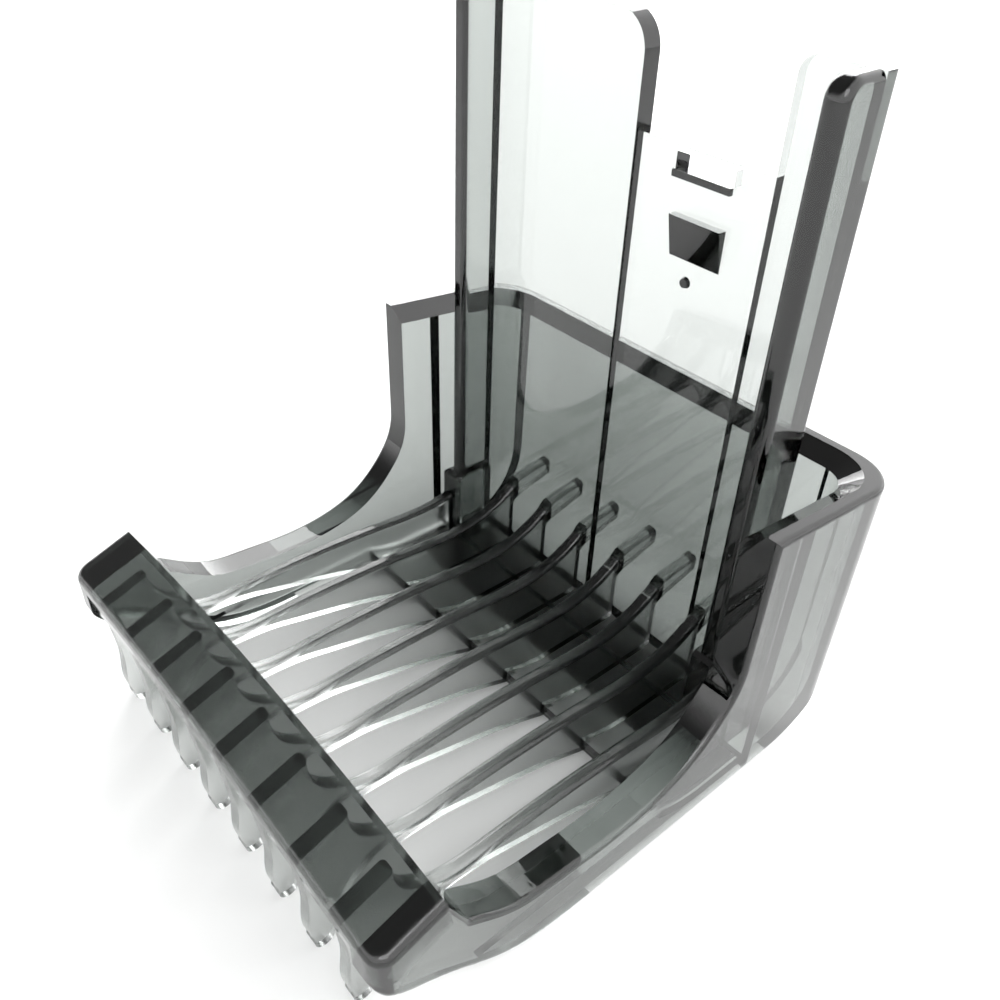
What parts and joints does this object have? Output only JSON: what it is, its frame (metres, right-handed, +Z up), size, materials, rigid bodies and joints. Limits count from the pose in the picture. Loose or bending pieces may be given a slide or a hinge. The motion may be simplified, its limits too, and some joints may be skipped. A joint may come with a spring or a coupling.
{
  "type": "clipper guard comb",
  "caption": "Smoky clear guard comb for a hair clipper: a skirted frame with slim curved teeth, a front bar and a tall notched slide plate edged with rails.",
  "frame": {"origin": "middle of the footprint, on the surface that the comb stands on", "axes": "+Z up along the slide plate and its rails, -Y towards the front bar and the tooth tips, +Y towards the rear wall, +X towards the side with the narrow ear; a viewer in front of the bar sees +X on the right"},
  "size_m": [0.0504, 0.055, 0.0608],
  "materials": {
    "smoky_wall": "polished, transparent smoky grey, seen through its thick walls",
    "smoky_plate": "polished, transparent smoky grey, seen through its thin plate",
    "smoky_edge": "polished, transparent smoky grey, dark where it is seen edge-on"
  },
  "bodies": {
    "root": {"left_side_wall": "smoky_wall", "right_side_wall": "smoky_wall", "left_rear_corner": "smoky_wall", "right_rear_corner": "smoky_wall", "back_wall": "smoky_wall", "rear_floor": "smoky_edge", "front_bar": "smoky_edge", "comb_tooth_1": "smoky_edge", "comb_tooth_2": "smoky_edge", "comb_tooth_3": "smoky_edge", "comb_tooth_4": "smoky_edge", "comb_tooth_5": "smoky_edge", "comb_tooth_6": "smoky_edge", "comb_tooth_7": "smoky_edge", "comb_tooth_8": "smoky_edge", "left_rail": "smoky_edge", "right_rail": "smoky_edge", "left_rail_foot": "smoky_edge", "right_rail_foot": "smoky_edge", "left_ear": "smoky_plate", "latch_panel": "smoky_plate", "right_ear": "smoky_plate", "latch_ledge": "smoky_plate", "latch_ramp": "smoky_plate", "gate_pip": "smoky_plate"}
  },
  "joints": []
}
